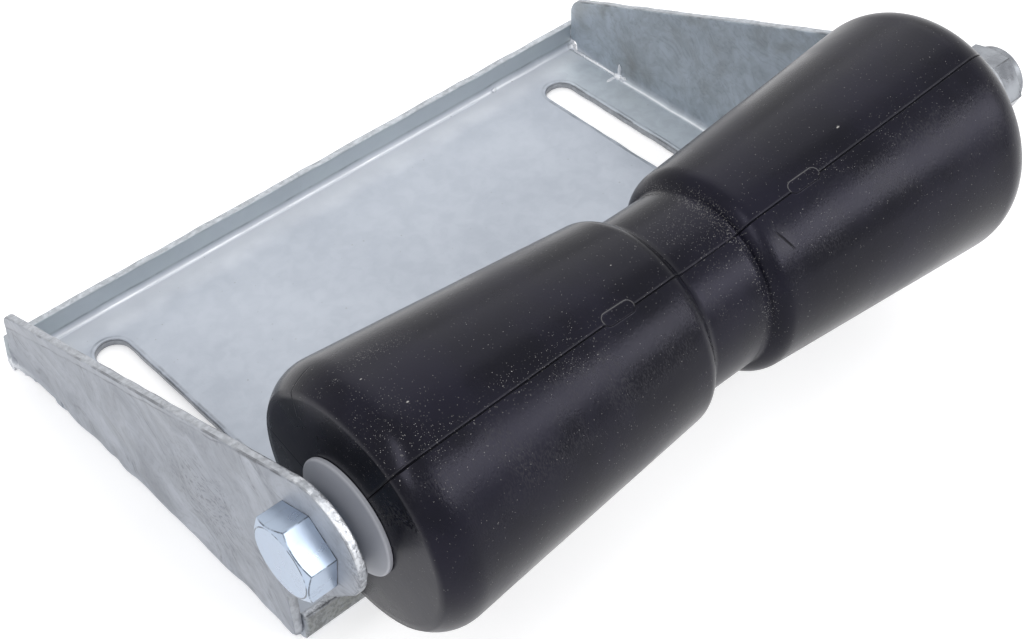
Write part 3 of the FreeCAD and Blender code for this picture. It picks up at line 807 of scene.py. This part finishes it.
def rubberMaterial(looks):
    made, shader, place = newMaterial("mouldedRubber")
    polar = groupNode(aroundAxle, {"Vector": place})
    tone = cloudy(place, 26.0, 6.0, 0.38, 0.66)
    base = mixColour(times(tone, 0.8), looks["rubber"], looks["worn"])
    fromSeam, line, bright = rubberLines(polar, place, looks)
    # fine scuffs across the roller, drawn lighter mostly in the band below the parting line where the highlight
    # falls: real scuffs with painted sheen
    drawn = groupNode(scuffs, {"Vector": place, "Stretch": (1.0, 0.45, 0.45), "Scale": 2100.0, "Amount": 0.62})
    highlightBand = times(rescale(fromSeam, 1.0, 12.0), rescale(fromSeam, 44.0, 24.0))
    patch = cloudy(place, 60.0, 4.0, 0.40, 0.64)
    scuffed = times(drawn["Mask"], plus(highlightBand, 0.12), patch)
    base = paint(base, looks["scuff"], scuffed, 0.40)
    # a rubbed spot with a dark stroke on the right shoulder
    rubbed = around(polar, *looks["rubbedSpot"])
    strokeAlong, strokeSlope = looks["stroke"]
    stroke = times(minus(polar["Angle"], looks["rubbedSpot"][1]), strokeSlope)
    stroke = minus(polar["Along"], plus(strokeAlong, stroke))
    stroke = times(nearTo(stroke, 0.0, 0.0005), rubbed)
    base = paint(base, looks["scuff"], rubbed, 0.35)
    dusty = rubberDust(polar, place, looks, patch)
    base = paint(base, looks["dust"], dusty, 0.7)
    line = greater(line, stroke)
    base = paint(base, looks["line"], line, 0.9)
    # the painted highlights of the seam and the marks
    base = paint(base, looks["lip"], bright, 0.55)
    link(base, shader.inputs["Base Color"])
    shader.inputs["Specular IOR Level"].default_value = looks["specular"]
    shader.inputs["Specular Tint"].default_value = looks["tint"]
    rough = rescale(tone, 0.0, 1.0, *looks["roughness"])
    rough = plus(rough, times(greater(line, dusty), 0.3))
    link(plus(rough, times(scuffed, 0.10)), shader.inputs["Roughness"])
    normal = bumped(noiseAt(place, 70.0, 3.0), 0.10, 0.0008)
    normal = bumped(noiseAt(place, 1000.0, 3.0), 0.10, 0.0002, normal)
    normal = bumped(times(drawn["Height"], plus(highlightBand, 0.15)), 0.22, 0.0003, normal)
    link(bumped(minus(bright, line), 0.8, 0.0003, normal), shader.inputs["Normal"])
    return made


def ovalOffset(along, across, halfLength, halfWidth):
    return math.hypot(max(abs(along) - halfLength + halfWidth, 0.0), across) - halfWidth


def pressLines(made, sizes, looks):
    # the parting line's groove and the raised outlines of the oblong marks
    moves = []
    for v in made.data.vertices:
        ahead, up = axle[0] - v.co.y, v.co.z - axle[1]
        radius, angle, along = math.hypot(ahead, up), math.degrees(math.atan2(ahead, up)), v.co.x
        if radius < sizes["endFlat"]:
            continue
        aside = math.radians(angle - looks["partingAngle"] - looks["partingSkew"] * along) * radius
        inside, ridge = False, 0.0
        for markAlong, markAngle in looks["marks"]:
            across = math.radians(angle - markAngle) * looks["markRadius"]
            offset = ovalOffset(along - markAlong, across, looks["markHalfLength"], looks["markHalfWidth"])
            inside = inside or offset < 0
            ridge = max(ridge, bell(offset, sizes["markLine"]))
        push = sizes["markHeight"] * ridge
        if not inside:
            push -= sizes["grooveDepth"] * bell(aside, sizes["grooveHalfWidth"])
            push += sizes["lipHeight"] * bell(aside + 1.5 * sizes["grooveHalfWidth"], sizes["grooveHalfWidth"])
        if push:
            moves.append((v, v.normal * push))
    for v, move in moves:
        v.co += move
        v.co.x = max(-sizes["halfLength"], min(sizes["halfLength"], v.co.x))


def makeRoller(sizes, looks, material):
    made = turnedPiece("rubberRoller", rollerSection(sizes), {
        "Segments": sizes["segments"], "Start Angle": math.radians(looks["partingAngle"]),
        "Twist": math.radians(looks["partingSkew"]), "Crowding": sizes["crowding"],
        "Waviness": sizes["waviness"], "Wave Scale": sizes["waveScale"], "Material": material})
    pressLines(made, sizes, looks)
    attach(made, "roller")
    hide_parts("roller")


# Flanged nylon bushes

bushLooks = {
    # corners of the half section: along, radius, rounding
    "section": [(0.084, 0.00808, 0), (0.084, 0.012, 0.0004), (0.124, 0.012, 0), (0.124, 0.019, 0.0002),
                (0.1252, 0.019, 0.0005), (0.1295, 0.013, 0.008), (0.1295, 0.00808, 0.0003)],
    "flange": 0.019, "nylon": (0.285, 0.300, 0.345, 1), "cloud": (0.335, 0.350, 0.395, 1),
    "rim": (0.52, 0.53, 0.58, 1), "dust": (0.7, 0.7, 0.7, 1), "roughness": (0.38, 0.48)}


def nylonMaterial(looks):
    made, shader, place = newMaterial("greyNylon")
    radius = groupNode(aroundAxle, {"Vector": place})["Radius"]
    tone = cloudy(place, 80.0, 3.0, 0.3, 0.7)
    base = mixColour(times(tone, 0.5), looks["nylon"], looks["cloud"])
    # painted highlight: a lighter band on the flange's rounded rim
    rim = rescale(radius, looks["flange"] - 0.0008, looks["flange"] - 0.0003)
    base = paint(base, looks["rim"], rim, 0.6)
    base = paint(base, looks["dust"], specked(place, 1500.0, 0.35, 0.03), 0.35)
    link(base, shader.inputs["Base Color"])
    link(rescale(tone, 0.0, 1.0, *looks["roughness"]), shader.inputs["Roughness"])
    skin = bumped(noiseAt(place, 700.0, 3.0), 0.06, 0.0002)
    drawn = groupNode(scuffs, {"Vector": place, "Stretch": (1, 1, 0.3), "Scale": 500.0, "Amount": 0.3})["Height"]
    link(bumped(drawn, 0.05, 0.0003, skin), shader.inputs["Normal"])
    return made


def makeBush(name, node, side, looks, material):
    section = roundCorners(looks["section"])
    section = spread(section + section[:1], 0.002)
    if side < 0:
        section = [(-x, r) for x, r in reversed(section)]
    made = turnedPiece(name, section, {
        "Segments": 128, "Waviness": 0.00005, "Wave Scale": 90.0, "Material": material})
    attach(made, "roller")
    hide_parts(node)


# Zinc-plated bolt, nut and washer

boltPlateLooks = {"light": (0.45, 0.53, 0.65, 1), "dark": (0.41, 0.485, 0.60, 1), "worn": (0.27, 0.30, 0.34, 1),
                  "edge": (0.07, 0.08, 0.10, 1), "metallic": 0.85, "roughness": (0.27, 0.35)}
nutPlateLooks = {"light": (0.285, 0.30, 0.325, 1), "dark": (0.15, 0.158, 0.175, 1), "worn": (0.16, 0.165, 0.17, 1),
                 "edge": (0.06, 0.062, 0.066, 1), "metallic": 0.85, "roughness": (0.24, 0.34)}


def zincPlateMaterial(name, looks):
    made, shader, place = newMaterial(name)
    tone = cloudy(place, 130.0, 4.0, 0.3, 0.7)
    base = mixColour(tone, looks["dark"], looks["light"])
    drawn = groupNode(scuffs, {"Vector": place, "Stretch": (0.25, 1, 1), "Scale": 800.0, "Amount": 0.35})
    base = paint(base, looks["worn"], drawn["Mask"], 0.15)
    base = paint(base, looks["worn"], specked(place, 1100.0, 0.3, 0.06), 0.5)
    broken = cloudy(place, 260.0, 4.0, 0.36, 0.56)
    base = paint(base, looks["edge"], attribute("edgeLine"), broken, 0.8)
    link(base, shader.inputs["Base Color"])
    shader.inputs["Metallic"].default_value = looks["metallic"]
    link(rescale(tone, 0.0, 1.0, *looks["roughness"]), shader.inputs["Roughness"])
    link(bumped(drawn["Height"], 0.08, 0.0002), shader.inputs["Normal"])
    return made


boltSizes = {
    "edgeRound": 0.00025, "threadStart": 0.112, "overlap": 0.0004, "tip": 0.1635, "tipChamfer": 0.0012,
    "pitch": 0.002, "depth": 0.00105, "crest": 0.00798, "segments": 56}


def roundedCopy(name, node, width, material, keepBelow=None):
    shell = weldedCopy(node)
    if keepBelow is not None:
        cut = planeCut(shell, (keepBelow, 0, 0), (1, 0, 0), clear_outer=True)["geom_cut"]
        bmesh.ops.holes_fill(shell, edges=[e for e in cut if isinstance(e, bmesh.types.BMEdge)], sides=0)
    line = shell.faces.layers.float.new("edgeLine")
    for face in roundEdges(shell, width, 2, 28):
        face[line] = 1.0
    for face in shell.faces:
        face.smooth = True
    return finishShell(shell, name, material, 90)


def makeBolt(sizes, material):
    made = roundedCopy("hexBolt", "axle_bolt", sizes["edgeRound"], material, sizes["threadStart"])
    crest, chamfer = sizes["crest"], sizes["tipChamfer"]
    start, end, fine = sizes["threadStart"] - sizes["overlap"], sizes["tip"] - chamfer, sizes["pitch"] / 8
    section = [(start, 0.0), (start, crest)]
    section += [(start + fine * i, crest) for i in range(1, int((end - start) / fine))]
    section += [(end, crest), (sizes["tip"], crest - chamfer), (sizes["tip"], 0.0)]
    thread = turnedPiece("boltThread", section, {
        "Segments": sizes["segments"], "Thread Depth": sizes["depth"], "Thread Pitch": sizes["pitch"],
        "Thread Crest": crest, "Material": material})
    joinInto(made, thread)
    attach(made, "bracket")
    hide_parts("axle_bolt")


def joinInto(target, other):
    shell = bmesh.new()
    shell.from_mesh(target.data)
    shell.from_mesh(other.data)
    shell.to_mesh(target.data)
    shell.free()
    bpy.data.objects.remove(other)


def makeNut(sizes, material):
    made = roundedCopy("lockNut", "lock_nut", sizes["edgeRound"], material)
    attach(made, "bracket")
    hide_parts("lock_nut")


def dressNode(name, material):
    target = nodes[name]
    target.data.materials.clear()
    target.data.materials.append(material)


insertLooks = {"dark": (0.62, 0.63, 0.61, 1), "light": (0.78, 0.79, 0.77, 1), "roughness": (0.4, 0.55)}


def insertMaterial(looks):
    made, shader, place = newMaterial("lockingRing")
    tone = cloudy(place, 300.0, 3.0, 0.3, 0.7)
    link(mixColour(tone, looks["dark"], looks["light"]), shader.inputs["Base Color"])
    link(rescale(tone, 0.0, 1.0, *looks["roughness"]), shader.inputs["Roughness"])
    link(bumped(tone, 0.2, 0.0002), shader.inputs["Normal"])
    return made


galvanised = galvanisedMaterial(galvanisedLooks)
rubber = rubberMaterial(rubberLooks)
nylon = nylonMaterial(bushLooks)
boltPlate = zincPlateMaterial("boltZincPlate", boltPlateLooks)
nutPlate = zincPlateMaterial("nutZincPlate", nutPlateLooks)
print("materials built:", len(bpy.data.materials))

makeBracket(bracketLooks, galvanised)
print("bracket made")
makeRoller(rollerSizes, rubberLooks, rubber)
makeBush("leftBush", "bush_left", -1, bushLooks, nylon)
makeBush("rightBush", "bush_right", 1, bushLooks, nylon)
print("roller and bushes made")
makeBolt(boltSizes, boltPlate)
makeNut(boltSizes, nutPlate)
dressNode("washer", nutPlate)
dressNode("nut_insert", insertMaterial(insertLooks))
print("fasteners made")


# Floor, light and camera

studio = {
    "floorSize": 6.0, "floorLevel": -0.0004, "floorColour": (0.78, 0.78, 0.79, 1), "floorGlow": 0.42,
    "worldStrength": 0.72,
    # softboxes: place, aim, size, watts
    "softboxes": [((0.75, 0.55, 1.05), (0.75, -0.04, 0.0), (1.5, 1.15), 5.0),
                  ((0.72, -1.18, 0.80), (0.72, -0.10, 0.07), (1.4, 0.58), 12.0),
                  ((-0.80, -0.56, 1.15), (-0.10, -0.10, 0.07), (0.30, 1.0), 4.5)]}

cameraLooks = {
    "place": (-0.27246, -0.35319, 0.41712), "turn": (0.8699796, 0.3386201, -0.1134623, -0.3399975),
    "lens": 57.892, "sensor": 36.0, "shift": (-0.0003, 0.1178)}


def seenRays():
    # 1 for rays that show the white surroundings: seen directly, mirrored or through something
    light = addNode("ShaderNodeLightPath").outputs
    return greater(light["Is Camera Ray"], light["Is Glossy Ray"], light["Is Transmission Ray"])


def makeFloor(looks):
    half = looks["floorSize"] / 2
    mesh = bpy.data.meshes.new("floor")
    level = looks["floorLevel"]
    corners = [(-half, -half, level), (half, -half, level), (half, half, level), (-half, half, level)]
    mesh.from_pydata(corners, [], [(0, 1, 2, 3)])
    made = newObject("floor", mesh)
    material = bpy.data.materials.new("paleFloor")
    material.use_nodes = True
    shader = startTree(material.node_tree).nodes["Principled BSDF"]
    shader.inputs["Base Color"].default_value = looks["floorColour"]
    shader.inputs["Roughness"].default_value = 0.9
    shader.inputs["Specular IOR Level"].default_value = 0.1
    shader.inputs["Emission Color"].default_value = (1, 1, 1, 1)
    link(times(seenRays(), looks["floorGlow"]), shader.inputs["Emission Strength"])
    mesh.materials.append(material)


def makeWorld(looks):
    world = bpy.data.worlds.new("studio")
    scene.world = world
    world.use_nodes = True
    background = startTree(world.node_tree).nodes["Background"]
    background.inputs["Color"].default_value = (1, 1, 1, 1)
    link(rescale(seenRays(), 0.0, 1.0, looks["worldStrength"], 1.0), background.inputs["Strength"])


def putObject(data, place, turn):
    made = newObject(data.name, data)
    made.location = place
    made.rotation_mode = "QUATERNION"
    made.rotation_quaternion = turn
    return made


def makeLamps(looks):
    for number, (place, aim, size, watts) in enumerate(looks["softboxes"]):
        lamp = bpy.data.lights.new("softbox" + str(number), "AREA")
        lamp.shape = "RECTANGLE"
        lamp.size, lamp.size_y = size
        lamp.energy = watts
        putObject(lamp, place, (Vector(aim) - Vector(place)).to_track_quat("-Z", "Y"))


def makeCamera(looks):
    lens = bpy.data.cameras.new("camera")
    lens.lens = looks["lens"]
    lens.sensor_width = looks["sensor"]
    lens.shift_x, lens.shift_y = looks["shift"]
    lens.clip_start = 0.01
    scene.camera = putObject(lens, looks["place"], Quaternion(looks["turn"]))


makeFloor(studio)
makeWorld(studio)
makeLamps(studio)
makeCamera(cameraLooks)
scene.view_settings.view_transform = "Standard"
print("studio ready")
